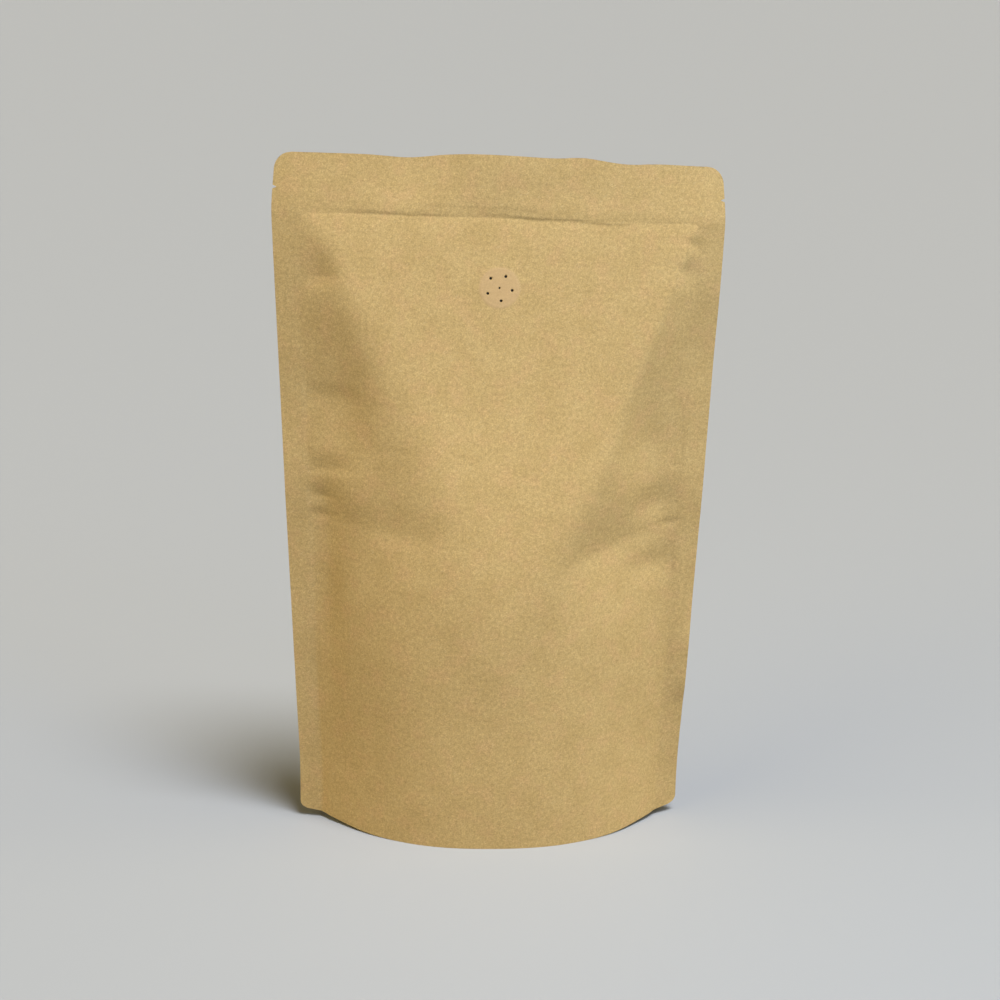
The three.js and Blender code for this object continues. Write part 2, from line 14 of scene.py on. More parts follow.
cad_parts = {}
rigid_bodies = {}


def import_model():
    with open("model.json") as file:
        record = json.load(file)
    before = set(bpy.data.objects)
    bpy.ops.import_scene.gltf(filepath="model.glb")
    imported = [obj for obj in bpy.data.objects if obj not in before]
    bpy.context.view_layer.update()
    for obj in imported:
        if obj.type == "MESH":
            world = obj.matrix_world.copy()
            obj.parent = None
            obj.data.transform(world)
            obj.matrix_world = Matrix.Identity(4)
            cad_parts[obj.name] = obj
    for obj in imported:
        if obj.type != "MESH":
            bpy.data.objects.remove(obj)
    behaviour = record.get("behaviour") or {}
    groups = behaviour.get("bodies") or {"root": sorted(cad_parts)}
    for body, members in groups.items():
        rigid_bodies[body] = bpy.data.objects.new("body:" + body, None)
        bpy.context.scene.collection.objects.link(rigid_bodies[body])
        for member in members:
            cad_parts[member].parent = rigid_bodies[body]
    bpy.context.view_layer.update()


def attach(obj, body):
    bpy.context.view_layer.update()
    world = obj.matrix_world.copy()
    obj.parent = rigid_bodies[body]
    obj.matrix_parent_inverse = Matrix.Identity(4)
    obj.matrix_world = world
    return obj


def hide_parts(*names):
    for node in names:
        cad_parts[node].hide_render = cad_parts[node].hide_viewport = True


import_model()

MM = 0.001

# Film, flat
FILM_WIDTH = 200.0  # from the tip of one side seal to the tip of the other
SIDE_SEAL = 10.0  # width of a side seal
HALF_PATH = FILM_WIDTH / 2 - SIDE_SEAL  # film from a side seal to the middle of a panel
FILM_THICKNESS = 0.34
PRESSED_HALF = 0.4  # half the thickness of two films pressed together

# Gusset
GUSSET_FOLD = 50.0  # height of its fold above the bottom edge
GUSSET_FOLD_RUN = 46.0  # length from a side seal in which the opened fold comes down to the ground
GUSSET_FOLD_POWER = 1.3
GUSSET_FLAT = 0.3  # share of the way from its middle line to a weld in which it is level
GUSSET_START = 0.6  # length from a side seal at which its film starts
GUSSET_GAP = 0.06  # between its film and a panel's
MOST_INSET = 0.45  # share of the pouch's half depth that this gap and the film may take
WELD_LOW = 8.0  # height of its U-shaped weld at the middle of a panel
WELD_POWER = 2.5
WALL_ROWS = 7  # rows of points up to a weld
BELLY_ROWS = 41  # rows of points from weld to weld

# Pouch, standing
HEIGHT = 310.4  # top edge above the ground, at the middle
HEADER = 26.0  # from the top edge down to the lower edge of the zip
ZIP_LOW = HEIGHT - HEADER
FACET_LOW = 149.0  # height at which the flat facet below the zip is measured
ZIP_SOFTNESS = 0.03  # share of the way down to there in which the film leaves the zip softly
ZIP_SPREADS = {-1: 0.14, 1: 0.05}  # share of the film that curves away from a seal at the zip
FACET_SPREADS = {-1: 1.02, 1: 0.68}  # the same at FACET_LOW
SPREAD_BEND = 0.78  # share from which it grows less, towards the widest
WIDEST_SPREAD = 1.0
FACET_HALF_WIDTH = 94.3  # from the middle to the tip of a side seal, at FACET_LOW
BASE_HALF_WIDTH = 88.3  # the same at the base
BASE_STRAIGHT = 24.0  # height up to which the base keeps that width
BASE_BEND = 14.0  # height, above and below that one, over which the sides turn outwards
CORNER_LIFT = 4.5  # how far the tips of the base stand off the ground
LIFT_FROM = 40.0  # distance from the middle at which the skirt starts to rise
LIFT_FADE = 70.0  # height over which that rise dies out
TOP_LEAN = 2.4  # how much higher the left end of the top edge is than its middle
HEADER_TILT = 3.4  # how far the top edge leans back
HEADER_TILT_POWER = 1.2
TOP_NARROWING = 1.4  # how much the wavy top edge is drawn in at each end

# Corners and notches
TOP_RADIUS = 7.6
FOOT_RADIUS = 3.0
NOTCH_BELOW_TOP = 15.4
NOTCH_DEPTH = 1.9
NOTCH_HALF_HEIGHT = 0.9

# Zip: it lifts the film from its edges up
ZIP_STEP = 1.9  # height in which the film rises over an edge
ZIP_TOP = 3.6  # height above an edge from which the film sinks back
ZIP_TOP_FADE = 9.0
ZIP_EDGE_FADE = 0.3  # share of an edge's run in which it fades, at each end

# Edges of the zip under the film: from (x, height above ZIP_LOW) to (x, height above ZIP_LOW), and how
# far they lift it
ZIP_EDGES = (
    (-74, 0.4, -14, -1.0, 0.32),
    (-36, 4.0, -4, 3.2, 0.14),
    (-12, 3.4, 26, 2.7, 0.12),
    (-12, 1.0, 20, -1.3, 0.24),
    (2, -0.3, 60, -2.2, 0.48),
    (40, -2.0, 80, -1.3, 0.18),
)

# The film's angle to the plane of the side seals. Above the waist it is gentle by the seal, steep, and
# then none across the facet; these are shares of the curved film. Below the waist it is a bell round
# BELL_AT, with its widths towards the seal and towards the middle; these are lengths of film.
CORNER_START = 0.7
CORNER_STEEP = 0.45
CORNER_EDGES = {-1: 0.44, 1: 0.76}
BELL_AT = 16.0
BELL_WIDTHS = (33.0, 48.0)

# The waist, where the flattened corners end on the bulge below them: its height at the side seal, its
# height at a length of film from the seal, and that length
WAISTS = {
    "front": {-1: (190.0, 154.0, 44.0), 1: (170.0, 142.0, 62.0)},
    "back": {-1: (176.0, 146.0, 60.0), 1: (186.0, 152.0, 44.0)},
}
WAIST_MIDDLE = 124.0  # its height at the middle of a panel
WAIST_SOFTNESS = 24.0
WAIST_MIDDLE_SOFTNESS = 42.0
WAIST_WIDENS_FROM = 0.75  # share of that length past which it gets softer
WAIST_SINK = 0.4  # share of its softness by which it then moves down

# Sections are traced in steps along the film, with the steepest angle found by halving a range
TRACE_STEP = 0.5
TRACE_STEPS = round(HALF_PATH / TRACE_STEP)
STEEPEST = 1.3
HALVINGS = 30

# Dents: from (x, height) to (x, height) on the flat film, reach above and below that line, depth (a
# ridge if negative), the share of the reach that is left at the far end, and roundness (1 is a crease,
# 2 a round hollow)
DENTS = {
    "front": (
        (-92, 256, -66, 258, 30, 13, 2.0, 0.5, 1.6),
        (-92, 202, -50, 192, 54, 56, 2.6, 0.8, 2.0),
        (-94, 204, -56, 202, 9, 15, 0.7, 0.7, 1.7),
        (-54, 181, -32, 182, 3, 4, 0.2, 0.5, 1.5),
        (-94, 169, -58, 172, 14, 8, 0.9, 0.6, 1.7),
        (-94, 157, -72, 156, 7, 5, 0.6, 0.6, 1.8),
        (-94, 148, -74, 148, 4, 5, 0.5, 0.6, 1.8),
        (-84, 147, -8, 141, 36, 110, 3.6, 0.6, 1.35),
        (-82, 156, -84, 50, 30, 18, 1.7, 1.0, 1.6),
        (-84, -6, -40, -6, 64, 40, -1.6, 0.8, 2.0),
        (-70, 128, 90, 128, 100, 120, -3.2, 1.0, 2.0),
        (92, 273, 78, 279, 6, 5, 0.8, 0.5, 1.6),
        (93, 262, 72, 265, 10, 15, 1.2, 0.6, 1.6),
        (92, 189, 46, 184, 66, 46, 4.8, 0.8, 1.8),
        (94, 160, 58, 151, 18, 15, 1.5, 0.6, 1.8),
        (92, 129, 58, 123, 14, 16, 1.2, 0.6, 1.8),
        (84, 146, 20, 128, 36, 84, 4.4, 0.45, 1.4),
        (84, -6, 36, -6, 72, 40, -2.0, 0.8, 2.0),
        (94, 147, 76, 145, 4, 5, 0.5, 0.6, 1.8),
        (94, 173, 82, 174, 3, 4, 0.4, 0.6, 1.8),
    ),
    "back": (
        (-92, 254, -68, 258, 28, 12, 1.8, 0.5, 1.6),
        (-92, 198, -54, 190, 54, 20, 3.0, 0.7, 1.9),
        (-94, 166, -56, 160, 14, 9, 1.5, 0.6, 1.8),
        (-82, 150, -22, 138, 30, 40, 3.4, 0.35, 1.2),
        (92, 260, 70, 262, 24, 10, 1.7, 0.5, 1.6),
        (92, 204, 56, 198, 50, 22, 2.6, 0.7, 2.0),
        (94, 172, 54, 168, 13, 8, 1.4, 0.6, 1.8),
        (94, 156, 70, 153, 7, 5, 0.8, 0.6, 1.8),
        (82, 150, 18, 146, 30, 60, 3.6, 0.4, 1.15),
    ),
}
DENT_LEAD = 0.2  # share of a dent's length in which it fades in before its start
DENT_FULL = 0.35  # share of its length after which it fades out
DENT_EASE = 1.6  # a dent is shallower where the film stands out by less than this times its depth
PRESSED_MOST = 0.9  # share of the film's depth that the dents may take

# Waves: (amplitude, length, phase)
HEADER_WAVES = ((1.0, 128.0, 4.03), (0.45, 61.0, 5.0))
HEADER_WAVE_POWER = 0.8
ZIP_WAVES = ((0.2, 29.0, 0.6), (0.1, 11.0, 2.0))

# Waves of the side seals, one at each of these heights, by turns to the front and to the back
SEAL_WAVE_HEIGHTS = {-1: (262.0, 201.0, 163.0), 1: (258.0, 222.0, 161.0)}
SEAL_WAVE_DEPTH = 0.8
SEAL_WAVE_HALF = 15.0
SEAL_WAVE_REACH = 30.0  # how far into a panel they carry

# The side seals' tips are turned back, more at the foot, and less on a stretch of the right one
SEAL_TURNS = {-1: 0.9, 1: 3.0}
FOOT_TURN, FOOT_TURN_FADE = 0.9, 55.0
FLAT_LOW, FLAT_LOW_FADE = 53.0, 14.0
FLAT_HIGH, FLAT_HIGH_FADE = 112.0, 30.0
FLAT_SHARE = 0.7

# Crests and dips of the top edge: (x, half width, rise)
TOP_EDGE_BUMPS = (
    (-4.0, 30.0, 1.7),
    (-40.0, 13.0, -1.4),
    (36.0, 9.0, 1.1),
    (57.0, 9.0, -0.8),
    (92.0, 24.0, -0.9),
)
TOP_EDGE_BASE = 0.3

# Valve, and the film over it
VALVE_HEIGHT = 254.6
VALVE_RADIUS = 9.05
VALVE_RISE = 0.22  # how far the film stands out over it
VALVE_EDGE_START = 0.9  # distance inside the radius at which the film starts to fall back
VALVE_EDGE_WIDTH = 1.0
VALVE_RING_RADIUS = 7.3
VALVE_RING_HALF_WIDTH = 0.7
VALVE_RING_DEPTH = 0.08
VALVE_TINT_EDGE = 1.2  # width of the step between its colour and the paper's
PINHOLE_CIRCLE = 5.7
PINHOLE_COUNT = 5
PINHOLE_RADIUS = 0.6
CENTRE_HOLE_RADIUS = 0.44
PINHOLE_TURN = 10.7  # degrees from +X to the first pinhole, going down
PUNCH_HALF_HEIGHT = 1.5
PUNCH_SIDES = 20

# The valve's body behind the film: a short cylinder with a flange
PLUG_GAP = 0.25  # between the film and its face
PLUG_THICKNESS = 2.4
PLUG_FLANGE = 0.6
PLUG_FLANGE_WIDTH = 1.6
PLUG_BEVEL = 0.4
PLUG_DRAFT = 0.2  # how much it narrows towards its foot
PLUG_ROUNDING = 0.1
PLUG_SIDES = 64

# Paper: noise in cells per metre of flat film, and how much pulp and grain darken and lighten it
CLOUD_SCALE = 70
WARMTH_SCALE = 110
PULP_SCALE, PULP_STRENGTH = 620, 0.2
GRAIN_SCALE, GRAIN_STRENGTH = 1500, 0.22
FIBRE_SCALE = (330, 2600, 1)
FIBRE_STRENGTH = 0.36
SPECK_SCALE = 230


# ---------------------------------------------------------------- the film's sections

def smooth(v):
    t = np.clip(v, 0.0, 1.0)
    return t * t * (3 - 2 * t)


def mix(a, b, t):
    return a + (b - a) * t


def wave_sum(waves, x):
    return sum(a * np.sin(2 * np.pi * x / length + phase) for a, length, phase in waves)


def corner_profile(u, edge):
    """Angle above the waist, 1 at its steepest, at shares u of the curved film."""
    rise = CORNER_START + (1 - CORNER_START) * smooth(u / CORNER_STEEP)
    return rise * (1 - smooth((u - edge) / (1 - edge)))


def bulge_profile(s):
    """Angle below the waist, 1 at its steepest, at lengths s of film from the seal."""
    def bell(at):
        return np.exp(-((at - BELL_AT) / np.where(at < BELL_AT, *BELL_WIDTHS)) ** 2)
    rest = bell(np.float64(HALF_PATH))
    return (bell(s) - rest) / (1 - rest)


def fall_from_zip(heights):
    """0 at the zip, 1 at FACET_LOW and more below it, growing softly at first."""
    drop = np.maximum(0, (ZIP_LOW - heights) / (ZIP_LOW - FACET_LOW))
    return drop**2 * (1 + ZIP_SOFTNESS) / (drop + ZIP_SOFTNESS)


def half_width(heights):
    """From the middle plane to the tip of a side seal."""
    above = heights - BASE_STRAIGHT
    bend = np.clip(above + BASE_BEND, 0, 2 * BASE_BEND) ** 2 / (4 * BASE_BEND)
    rise = np.where(above > BASE_BEND, above, bend) / (FACET_LOW - BASE_STRAIGHT)
    return np.where(
        heights > FACET_LOW,
        mix(FILM_WIDTH / 2, FACET_HALF_WIDTH, fall_from_zip(heights)),
        mix(BASE_HALF_WIDTH, FACET_HALF_WIDTH, rise),
    )


def trace_depths(profiles, widths):
    """Depths along rows of films that have these angle profiles and, once curved, these widths."""
    low = np.zeros(len(widths))
    high = np.full(len(widths), STEEPEST)
    for _ in range(HALVINGS):
        middle = (low + high) / 2
        reached = (np.cos(middle[:, None] * profiles) * TRACE_STEP).sum(axis=1)
        low = np.where(reached > widths, middle, low)
        high = np.where(reached > widths, high, middle)
    rises = np.sin(low[:, None] * profiles) * TRACE_STEP
    return np.concatenate([np.zeros((len(widths), 1)), np.cumsum(rises, axis=1)], axis=1)


def bulge_share(waist, s, heights):
    """Share of the bulge's shape in the film, at lengths s from the seal: none above the waist."""
    seal, end, reach = waist
    beside = mix(seal, end, np.minimum(1, s / reach))
    line = mix(beside, WAIST_MIDDLE, smooth((s - reach) / (HALF_PATH - reach)))
    start = WAIST_WIDENS_FROM * reach
    widen = smooth((s - start) / (HALF_PATH - start))
    softness = mix(WAIST_SOFTNESS, WAIST_MIDDLE_SOFTNESS, widen)
    return smooth((line - heights) / (2 * softness) + 0.5 - WAIST_SINK * widen)


def half_sections(face, side, heights):
    """Depth, and distance from the middle plane, at each trace step of each row of half a panel."""
    middles = (np.arange(TRACE_STEPS) + 0.5) * TRACE_STEP
    widths = half_width(heights) - SIDE_SEAL
    fall = fall_from_zip(heights)

    def corner_depths(half):
        even = mix(ZIP_SPREADS[half], FACET_SPREADS[half], fall)
        room = WIDEST_SPREAD - SPREAD_BEND
        bent = SPREAD_BEND + room * np.tanh((even - SPREAD_BEND) / room)
        spread = np.where(even > SPREAD_BEND, bent, even)
        curved = np.maximum(1.0, HALF_PATH * spread)[:, None]
        profile = corner_profile(middles[None, :] / curved, CORNER_EDGES[half])
        return trace_depths(profile, widths) * (fall[:, None] > 0)

    corner = corner_depths(side)
    middle_depth = (corner[:, -1:] + corner_depths(-side)[:, -1:]) / 2
    corner *= middle_depth / np.maximum(corner[:, -1:], 1e-6)
    profiles = np.broadcast_to(bulge_profile(middles), (len(heights), TRACE_STEPS))
    bulge = trace_depths(profiles, widths)
    s = np.arange(TRACE_STEPS + 1) * TRACE_STEP
    depths = mix(corner, bulge, bulge_share(WAISTS[face][side], s[None, :], heights[:, None]))
    runs = np.sqrt(TRACE_STEP**2 - np.diff(depths, axis=1) ** 2)
    across = np.concatenate([np.zeros((len(heights), 1)), np.cumsum(runs, axis=1)], axis=1)
    across *= (widths / across[:, -1])[:, None]
    return depths, widths[:, None] - across


# ---------------------------------------------------------------- dents, zip and waves

def dent_depth(face, x, heights, depth):
    """How far the film is pressed in, or out where it is negative, at flat places on it."""
    thickness = depth + PRESSED_HALF
    total = np.zeros(np.broadcast(x, heights).shape)
    for x0, z0, x1, z1, above, below, deep, end, roundness in DENTS[face]:
        run, climb = x1 - x0, z1 - z0
        length = math.hypot(run, climb)
        along = ((x - x0) * run + (heights - z0) * climb) / length**2
        offset = ((heights - z0) * abs(run) - (x - x0) * climb * math.copysign(1, run)) / length
        reach = np.where(offset > 0, above, below) * mix(1, end, np.clip(along, 0, 1))
        flank = np.clip(1 - np.abs(offset / reach) ** roundness, 0, 1) ** (roundness + 1)
        fade = smooth(along / DENT_LEAD + 1) * (1 - smooth((along - DENT_FULL) / (1 - DENT_FULL)))
        total += deep * flank * fade * (1 - np.exp(-thickness / (DENT_EASE * abs(deep))))
    return np.minimum(total, PRESSED_MOST * thickness)


def zip_rise(x, heights):
    """The zip inside lifts the film, from edges that show for a stretch each and fade at both ends."""
    total = 0
    for x0, low0, x1, low1, rise in ZIP_EDGES:
        along = (x - x0) / (x1 - x0)
        above = heights - ZIP_LOW - mix(low0, low1, along) - wave_sum(ZIP_WAVES, x)
        step = smooth(above / ZIP_STEP) * (1 - smooth((above - ZIP_TOP) / ZIP_TOP_FADE))
        shows = smooth(along / ZIP_EDGE_FADE) * smooth((1 - along) / ZIP_EDGE_FADE)
        total = total + rise * shows * step
    return total


def plane_shift(x, s, side, heights):
    """Both films' shift out of the plane of the side seals. In a seal, s is below 0."""
    above_zip = np.maximum(0, (heights - ZIP_LOW) / HEADER)
    header = wave_sum(HEADER_WAVES, x) * smooth(above_zip) ** HEADER_WAVE_POWER
    tilt = HEADER_TILT * above_zip**HEADER_TILT_POWER
    seal = 0
    for i, z in enumerate(SEAL_WAVE_HEIGHTS[side]):
        way = 1 if i % 2 else -1
        seal = seal + way * SEAL_WAVE_DEPTH * np.exp(-(((heights - z) / SEAL_WAVE_HALF) ** 2))
    turn = SEAL_TURNS[side] * (1 + FOOT_TURN * (1 - smooth(heights / FOOT_TURN_FADE)))
    if side == 1:
        rising = smooth((heights - FLAT_LOW) / FLAT_LOW_FADE)
        falling = 1 - smooth((heights - FLAT_HIGH) / FLAT_HIGH_FADE + 1)
        turn = turn * (1 - FLAT_SHARE * rising * falling)
    carried = seal * (1 - smooth((s + SIDE_SEAL) / SEAL_WAVE_REACH))
    return header + tilt + carried + turn * np.clip(-s / SIDE_SEAL, 0, 1)


def rounding(distance, radius):
    """How far a round corner lies in from its tangent, at a distance from the other one."""
    short = np.clip(radius - distance, 0, radius)
    return radius - np.sqrt(radius**2 - short**2)


def edge_inset(heights):
    """How far the film's edge lies in from the straight tip line, at round corners and tear notches."""
    notch = np.abs(heights - (HEIGHT - NOTCH_BELOW_TOP))
    inset = NOTCH_DEPTH * np.clip(1 - notch / NOTCH_HALF_HEIGHT, 0, 1)
    inset += rounding(HEIGHT - heights, TOP_RADIUS) + rounding(heights, FOOT_RADIUS)
    return inset + TOP_NARROWING * smooth((heights - ZIP_LOW) / HEADER)


def settle(x, heights):
    """Heights on the even pouch become heights on the real one, with lifted tips and a wavy top edge."""
    lift = CORNER_LIFT * np.clip((np.abs(x) - LIFT_FROM) / (BASE_HALF_WIDTH - LIFT_FROM), 0, 1) ** 2
    lifted = heights + lift * (1 - smooth(heights / LIFT_FADE))
    lean = -TOP_LEAN * x / (FILM_WIDTH / 2) * smooth(heights / ZIP_LOW)
    bumps = sum(rise * np.exp(-(((x - at) / half) ** 2)) for at, half, rise in TOP_EDGE_BUMPS)
    return lifted + lean + (bumps - TOP_EDGE_BASE) * smooth((heights - ZIP_LOW) / HEADER)


def valve_relief(distance):
    """The film over the valve stands out as a low disc with a shallow ring in it."""
    fallen = smooth((distance - VALVE_RADIUS + VALVE_EDGE_START) / VALVE_EDGE_WIDTH)
    disc = VALVE_RISE * (1 - fallen)
    ring = np.clip(np.abs(distance - VALVE_RING_RADIUS) / VALVE_RING_HALF_WIDTH, 0, 1)
    return disc - VALVE_RING_DEPTH * np.cos(ring * np.pi / 2)


def half_panel(face, side, lengths, heights, inset=0.0):
    """Points of half a panel: a row for each height, a column for each length from the side seal.

    Lengths below 0 are in the seal. inset moves the points inwards. Returns x, y, z arrays."""
    depths, reaches = half_sections(face, side, heights)
    at = np.clip(lengths, 0, HALF_PATH) / TRACE_STEP
    index = np.minimum(at.astype(int), TRACE_STEPS - 1)
    part = at - index
    depth = mix(depths[:, index], depths[:, index + 1], part)
    reach = mix(reaches[:, index], reaches[:, index + 1], part)
    angle = np.arcsin(np.clip((depths[:, index + 1] - depths[:, index]) / TRACE_STEP, -1, 1))
    z = heights[:, None]
    s = lengths[None, :]
    beyond = np.clip(-s / SIDE_SEAL, 0, 1) * (SIDE_SEAL - edge_inset(z))
    reach = reach + beyond
    on_film = s > 0
    flat_x = side * (HALF_PATH - s)
    pressed = np.where(on_film, dent_depth(face, flat_x, z, depth), 0)
    out = PRESSED_HALF + depth + np.where(on_film, zip_rise(flat_x, z), 0)
    if face == "front":
        out = out + valve_relief(np.hypot(reach, (z - VALVE_HEIGHT) * np.ones_like(s)))
    outwards = -1 if face == "front" else 1
    x = side * (reach - np.sin(angle) * pressed)
    inset = np.minimum(inset, MOST_INSET * (PRESSED_HALF + depth))
    shift = plane_shift(x, np.where(on_film, s, -beyond), side, z)
    y = outwards * (out - np.cos(angle) * pressed - inset) + shift
    return x, y, settle(x, z)


def panel_points(face, lengths, heights):
    """A whole panel from the left tip to the right tip, as rows of points and of flat film places."""
    left = half_panel(face, -1, lengths, heights)
    right = half_panel(face, 1, lengths, heights)
    points = np.stack([np.concatenate([a, b[:, -2::-1]], axis=1) for a, b in zip(left, right)], axis=-1)
    along = np.concatenate([lengths - HALF_PATH, (HALF_PATH - lengths)[-2::-1]])
    flat = np.stack(np.broadcast_arrays(along[None, :], heights[:, None]), axis=-1)
    return points, flat


# ---------------------------------------------------------------- meshes

FILM_SHARP_ANGLE = math.radians(65)
TURNED_SHARP_ANGLE = math.radians(40)


def stretches(*parts):
    """Values from (start, end, steps) stretches, each start included, and the last end."""
    values = [np.linspace(a, b, n, endpoint=False) for a, b, n in parts]
    return np.concatenate([*values, [parts[-1][1]]])


def grid_normals(points):
    """Unit normals of a grid of points, towards the side from which its rows go up and columns right."""
    along = np.gradient(points, axis=1)
    up = np.gradient(points, axis=0)
    normal = np.cross(along, up)
    return normal / np.maximum(np.linalg.norm(normal, axis=-1, keepdims=True), 1e-12)


def film_shell(name, points, flat, thickness, materials):
    """A closed film: points is a grid seen from outside, rows going up and columns going right.

    The film's cut edges take the second material."""
    rows, columns = points.shape[:2]
    inner = points - grid_normals(points) * thickness
    vertices = np.concatenate([points.reshape(-1, 3), inner.reshape(-1, 3)]) * MM
    index = np.arange(rows * columns).reshape(rows, columns)
    a, b, c, d = index[:-1, :-1], index[:-1, 1:], index[1:, 1:], index[1:, :-1]
    outside = np.stack([a, b, c, d], axis=-1).reshape(-1, 4)
    inside = outside[:, ::-1] + rows * columns
    loop = np.concatenate([index[0], index[1:, -1], index[-1, -2::-1], index[-2:0:-1, 0]])
    following = np.roll(loop, -1)
    count = rows * columns
    rim = np.stack([following, loop, loop + count, following + count], axis=-1)
    faces = np.concatenate([outside, inside, rim])
    mesh = bpy.data.meshes.new(name)
    mesh.from_pydata(vertices, [], faces)
    places = np.concatenate([flat.reshape(-1, 2)] * 2) * MM
    uv = mesh.uv_layers.new(name="film")
    uv.data.foreach_set("uv", places[faces.reshape(-1)].reshape(-1))
    slots = np.zeros(len(faces), dtype=np.int32)
    slots[len(outside) + len(inside):] = 1
    mesh.polygons.foreach_set("material_index", slots)
    mesh.polygons.foreach_set("use_smooth", np.ones(len(faces), dtype=bool))
    mesh.set_sharp_from_angle(angle=FILM_SHARP_ANGLE)
    for material in materials:
        mesh.materials.append(material)
    piece = bpy.data.objects.new(name, mesh)
    bpy.context.scene.collection.objects.link(piece)
    return piece


def panel_heights(face):
    """Heights of the rows, closer where the film is dented, lifted, notched or rounded."""
    notch = HEIGHT - NOTCH_BELOW_TOP
    valve_rows = 16 if face == "back" else 46
    return stretches(
        (0, FOOT_RADIUS, 5),
        (FOOT_RADIUS, 125, 52),
        (125, 180, 54),
        (180, 240, 36),
        (240, 268, valve_rows),
        (268, ZIP_LOW - 4, 10),
        (ZIP_LOW - 4, ZIP_LOW + 7, 30),
        (ZIP_LOW + 7, notch - NOTCH_HALF_HEIGHT, 3),
        (notch - NOTCH_HALF_HEIGHT, notch + NOTCH_HALF_HEIGHT, 4),
        (notch + NOTCH_HALF_HEIGHT, HEIGHT - TOP_RADIUS, 8),
        (HEIGHT - TOP_RADIUS, HEIGHT - TOP_RADIUS / 2, 4),
        (HEIGHT - TOP_RADIUS / 2, HEIGHT, 8),
    )


def panel_lengths(face):
    """Lengths from the side seal of the columns, closer by the seal and, on the front, at the valve."""
    middle_columns = 12 if face == "back" else 24
    return stretches((-SIDE_SEAL, 0, 8), (0, 12, 12), (12, 76, 50), (76, HALF_PATH, middle_columns))


def make_panel(face, materials):
    points, flat = panel_points(face, panel_lengths(face), panel_heights(face))
    if face == "back":
        points, flat = points[:, ::-1], flat[:, ::-1]
    return film_shell(f"{face}_panel", points, flat, FILM_THICKNESS, materials)


def gusset_points():
    """The gusset from the front skirt's edge, over its weld and belly, to the back skirt's edge."""
    lengths = stretches((GUSSET_START, 8, 6), (8, HALF_PATH, 40))
    weld = WELD_LOW + (GUSSET_FOLD - WELD_LOW) * (1 - lengths / HALF_PATH) ** WELD_POWER
    fold = GUSSET_FOLD * np.clip(1 - lengths / GUSSET_FOLD_RUN, 0, 1) ** GUSSET_FOLD_POWER
    inset = FILM_THICKNESS + GUSSET_GAP
    rise = np.linspace(0, 1, WALL_ROWS)
    across = np.linspace(-1, 1, BELLY_ROWS)[1:-1]
    share = (across[:, None] + 1) / 2
    bend = np.clip((np.abs(across) - GUSSET_FLAT) / (1 - GUSSET_FLAT), 0, 1) ** 2
    halves = []
    for side in (-1, 1):
        columns = []
        for i in range(len(lengths)):
            wall = {}
            for face in ("front", "back"):
                x, y, z = half_panel(face, side, lengths[i:i + 1], rise * weld[i], inset)
                wall[face] = np.stack([x[:, 0], y[:, 0], z[:, 0]], axis=-1)
            belly = mix(wall["front"][-1], wall["back"][-1], share)
            top = np.where(across < 0, wall["front"][-1, 2], wall["back"][-1, 2])
            belly[:, 2] = np.minimum(top, mix(fold[i], top, bend))
            columns.append(np.concatenate([wall["front"], belly, wall["back"][::-1]]))
        halves.append(np.stack(columns, axis=1))
    points = np.concatenate([halves[0], halves[1][:, -2::-1]], axis=1)
    along = np.concatenate([lengths - HALF_PATH, (HALF_PATH - lengths)[-2::-1]])
    steps = np.linalg.norm(np.diff(points[:, len(lengths) - 1], axis=0), axis=-1)
    down = np.concatenate([[0], np.cumsum(steps)])
    flat = np.stack(np.broadcast_arrays(along[None, :], down[:, None]), axis=-1)
    return points, flat


def make_gusset(materials):
    points, flat = gusset_points()
    points[..., 2] = np.maximum(points[..., 2], 0.0)
    return film_shell("gusset", points[:, ::-1], flat[:, ::-1], -FILM_THICKNESS, materials)


# ---------------------------------------------------------------- valve

def valve_matrix():
    """Places a shape made about the origin, +Z outwards, on the film at the valve."""
    reach = 10
    rows = np.array([VALVE_HEIGHT - reach, VALVE_HEIGHT, VALVE_HEIGHT + reach])
    depths, _ = half_sections("front", 1, rows)
    tilt = math.atan2(depths[0, -1] - depths[2, -1], 2 * reach)
    place = Vector((0, -(depths[1, -1] + PRESSED_HALF), VALVE_HEIGHT)) * MM
    return Matrix.Translation(place) @ Matrix.Rotation(math.pi / 2 - tilt, 4, "X")


def ring_mesh(name, profile, sides, matrix):
    """A closed turned shape from (radius, height) pairs that start and end on the axis."""
    inner = profile[1:-1]
    vertices = [(0, 0, profile[0][1] * MM), (0, 0, profile[-1][1] * MM)]
    for radius, height in inner:
        for i in range(sides):
            turn = 2 * math.pi * i / sides
            vertices.append((radius * MM * math.cos(turn), radius * MM * math.sin(turn), height * MM))
    faces = []
    for i in range(sides):
        j = (i + 1) % sides
        faces.append((0, 2 + j, 2 + i))
        for k in range(len(inner) - 1):
            low, high = 2 + k * sides, 2 + (k + 1) * sides
            faces.append((low + i, low + j, high + j, high + i))
        last = 2 + (len(inner) - 1) * sides
        faces.append((1, last + i, last + j))
    mesh = bpy.data.meshes.new(name)
    mesh.from_pydata(vertices, [], faces)
    mesh.transform(matrix)
    mesh.polygons.foreach_set("use_smooth", np.ones(len(faces), dtype=bool))
    mesh.set_sharp_from_angle(angle=TURNED_SHARP_ANGLE)
    return mesh


def pinhole_places():
    """(x, y, radius) of each hole in the valve's own plane."""
    turns = [math.radians(-PINHOLE_TURN - i * 360 / PINHOLE_COUNT) for i in range(PINHOLE_COUNT)]
    ring = [(PINHOLE_CIRCLE * math.cos(t), PINHOLE_CIRCLE * math.sin(t), PINHOLE_RADIUS) for t in turns]
    return [*ring, (0.0, 0.0, CENTRE_HOLE_RADIUS)]


